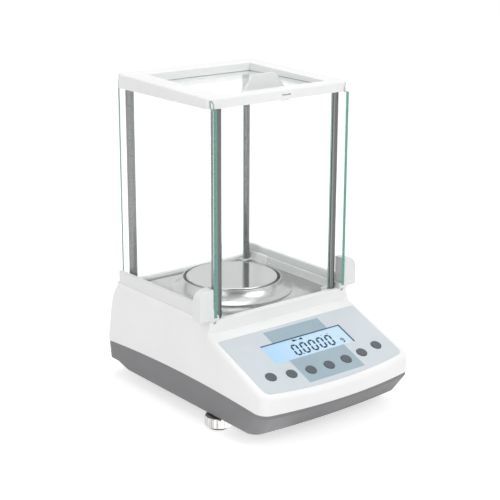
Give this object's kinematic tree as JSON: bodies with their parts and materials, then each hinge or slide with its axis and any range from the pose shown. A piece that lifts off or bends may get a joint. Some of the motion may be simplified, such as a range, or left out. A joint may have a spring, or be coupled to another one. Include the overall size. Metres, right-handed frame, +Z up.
{
  "type": "analytical balance",
  "caption": "Laboratory balance with sliding glass draft shield, round pan, wind ring, sloped key panel with lit display and levelling feet.",
  "frame": {"origin": "on the bench, under the middle of the overall box", "axes": "+Z up, the control panel faces -Y, +X to the user's right"},
  "size_m": [0.216, 0.2959, 0.3556],
  "materials": {
    "white_shell": "fine-grained moulded plastic",
    "grey_shell": "fine-grained moulded plastic",
    "white_frame": "fine-grained moulded plastic",
    "rail_plastic": "smooth moulded plastic",
    "clip_plastic": "smooth moulded plastic",
    "dark_cover": "moulded plastic",
    "pane_glass": "clear float glass with ground edges",
    "polished_post": "polished",
    "stainless_floor": "brushed",
    "stainless_ring": "spun and brushed",
    "stainless_pan": "brushed in circles",
    "overlay_film": "embossed film",
    "black_bezel": "smooth",
    "display_face": "lit liquid crystal display",
    "key_plastic": "smooth",
    "circuit_board": "solder mask",
    "switch_body": "smooth",
    "zinc_screw": "zinc plated",
    "knurled_chrome": "knurled, plated",
    "black_rubber": "moulded",
    "cast_alloy": "cast",
    "machined_alloy": "machined",
    "spring_sheet": "rolled sheet",
    "ground_steel": "ground",
    "coil_wire": "enamelled winding",
    "pot_steel": "nickel plated",
    "port_metal": "plated",
    "black_socket": "smooth"
  },
  "bodies": {
    "base": {"upper_housing": "white_shell", "lower_tray": "grey_shell", "housing_screws": "zinc_screw", "hook_cover": "dark_cover", "floor_plate": "stainless_floor", "post_front_left": "polished_post", "post_front_right": "polished_post", "post_rear_left": "polished_post", "post_rear_right": "polished_post", "post_screws": "zinc_screw", "top_frame": "white_frame", "front_pane": "pane_glass", "rear_pane": "pane_glass", "pane_clip": "clip_plastic", "panel_overlay": "overlay_film", "display_bezel": "black_bezel", "display_glass": "display_face", "display_board": "circuit_board", "keypad_board": "circuit_board", "key_switches": "switch_body", "board_screws": "zinc_screw", "rear_foot_left": "black_rubber", "rear_foot_right": "black_rubber", "cell_base": "cast_alloy", "cell_screws": "zinc_screw", "upper_guide": "spring_sheet", "lower_guide": "spring_sheet", "magnet_pot": "pot_steel", "position_sensor": "circuit_board", "main_board": "circuit_board", "main_screws": "zinc_screw", "data_port": "port_metal", "power_inlet": "black_socket"},
    "cell_hanger": {"hanger": "machined_alloy", "pan_spindle": "ground_steel"},
    "cell_lever": {"weighing_lever": "machined_alloy", "force_coil": "coil_wire"},
    "pan": {"weighing_pan": "stainless_pan"},
    "ring": {"wind_ring": "stainless_ring"},
    "left_door": {"left_door_glass": "pane_glass", "left_door_rail": "rail_plastic"},
    "right_door": {"right_door_glass": "pane_glass", "right_door_rail": "rail_plastic"},
    "top_door": {"top_door_glass": "pane_glass", "top_door_tab": "rail_plastic"},
    "left_pad": {"left_foot_pad": "black_rubber"},
    "left_wheel": {"left_foot_wheel": "knurled_chrome"},
    "right_pad": {"right_foot_pad": "black_rubber"},
    "right_wheel": {"right_foot_wheel": "knurled_chrome"},
    "key_1": {"key_1": "key_plastic"},
    "key_2": {"key_2": "key_plastic"},
    "key_3": {"key_3": "key_plastic"},
    "key_4": {"key_4": "key_plastic"},
    "key_5": {"key_5": "key_plastic"},
    "key_6": {"key_6": "key_plastic"},
    "key_7": {"key_7": "key_plastic"}
  },
  "joints": [
    {"name": "left_door_slide", "type": "slide", "parent": "base", "child": "left_door", "axis": [0, 1, 0], "range_m": [0, 0.14]},
    {"name": "right_door_slide", "type": "slide", "parent": "base", "child": "right_door", "axis": [0, 1, 0], "range_m": [0, 0.14]},
    {"name": "top_door_slide", "type": "slide", "parent": "base", "child": "top_door", "axis": [0, 1, 0], "range_m": [0, 0.1]},
    {"name": "hanger_travel", "type": "slide", "parent": "base", "child": "cell_hanger", "axis": [0, 0, -1], "range_m": [0, 0.0002], "stiffness_N_per_m": 4000, "springref_m": -0.0005},
    {"name": "lever_pivot", "type": "hinge", "parent": "base", "child": "cell_lever", "pos_m": [0, 0.05915, 0.0725], "axis": [1, 0, 0], "range_deg": [0, 1.2]},
    {"name": "pan_lift", "type": "slide", "parent": "cell_hanger", "child": "pan", "axis": [0, 0, 1], "range_m": [0, 0.03]},
    {"name": "ring_lift", "type": "slide", "parent": "base", "child": "ring", "axis": [0, 0, 1], "range_m": [0, 0.04]},
    {"name": "key_1_press", "type": "slide", "parent": "base", "child": "key_1", "axis": [0, 0.3714, -0.9285], "range_m": [0, 0.0003], "stiffness_N_per_m": 2000, "springref_m": -0.0005},
    {"name": "key_2_press", "type": "slide", "parent": "base", "child": "key_2", "axis": [0, 0.3714, -0.9285], "range_m": [0, 0.0003], "stiffness_N_per_m": 2000, "springref_m": -0.0005},
    {"name": "key_3_press", "type": "slide", "parent": "base", "child": "key_3", "axis": [0, 0.3714, -0.9285], "range_m": [0, 0.0003], "stiffness_N_per_m": 2000, "springref_m": -0.0005},
    {"name": "key_4_press", "type": "slide", "parent": "base", "child": "key_4", "axis": [0, 0.3714, -0.9285], "range_m": [0, 0.0003], "stiffness_N_per_m": 2000, "springref_m": -0.0005},
    {"name": "key_5_press", "type": "slide", "parent": "base", "child": "key_5", "axis": [0, 0.3714, -0.9285], "range_m": [0, 0.0003], "stiffness_N_per_m": 2000, "springref_m": -0.0005},
    {"name": "key_6_press", "type": "slide", "parent": "base", "child": "key_6", "axis": [0, 0.3714, -0.9285], "range_m": [0, 0.0003], "stiffness_N_per_m": 2000, "springref_m": -0.0005},
    {"name": "key_7_press", "type": "slide", "parent": "base", "child": "key_7", "axis": [0, 0.3714, -0.9285], "range_m": [0, 0.0003], "stiffness_N_per_m": 2000, "springref_m": -0.0005},
    {"name": "left_foot_height", "type": "slide", "parent": "base", "child": "left_pad", "axis": [0, 0, -1], "range_m": [-0.00075, 0.006]},
    {"name": "left_wheel_turn", "type": "hinge", "parent": "left_pad", "child": "left_wheel", "pos_m": [-0.093, -0.0547, 0.008], "axis": [0, 0, -1], "range_deg": [-217, 1729]},
    {"name": "right_foot_height", "type": "slide", "parent": "base", "child": "right_pad", "axis": [0, 0, -1], "range_m": [-0.00075, 0.006]},
    {"name": "right_wheel_turn", "type": "hinge", "parent": "right_pad", "child": "right_wheel", "pos_m": [0.093, -0.0547, 0.008], "axis": [0, 0, -1], "range_deg": [-217, 1729]}
  ],
  "couplings": [
    {"joint": "lever_pivot", "follows": "hanger_travel", "rad_per_m": 100},
    {"joint": "left_wheel_turn", "follows": "left_foot_height", "rad_per_m": 5026.5},
    {"joint": "right_wheel_turn", "follows": "right_foot_height", "rad_per_m": 5026.5}
  ]
}
